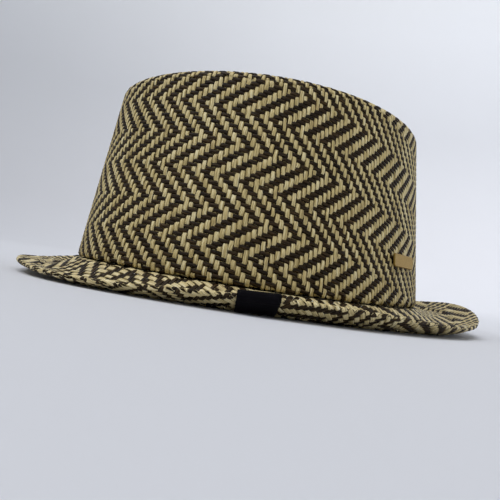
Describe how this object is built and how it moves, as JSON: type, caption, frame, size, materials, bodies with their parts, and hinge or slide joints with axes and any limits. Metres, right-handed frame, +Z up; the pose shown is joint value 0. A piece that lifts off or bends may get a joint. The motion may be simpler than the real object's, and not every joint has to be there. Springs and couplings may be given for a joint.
{
  "type": "porkpie hat",
  "caption": "Straw porkpie hat in two-colour zigzag twill: flat-topped crown with a telescope crease, short turned-up brim, ribbon tab on the brim edge and a bare brass plate.",
  "frame": {"origin": "bottom centre of the hat, on the surface that the brim rests on, halfway between the brim's front and back edges", "axes": "+Z up through the crown, -Y to the front of the hat, +X to the wearer's left side"},
  "size_m": [0.2461, 0.2744, 0.1176],
  "materials": {
    "crown_straw": "woven natural and dark brown straw, soft sheen",
    "brim_straw": "woven natural and dark brown straw, soft sheen",
    "black_ribbon": "matt ribbed ribbon",
    "brass": "satin antique"
  },
  "bodies": {
    "root": {"crown": "crown_straw", "brim": "brim_straw", "brim_tab": "black_ribbon", "crown_plate": "brass"}
  },
  "joints": []
}
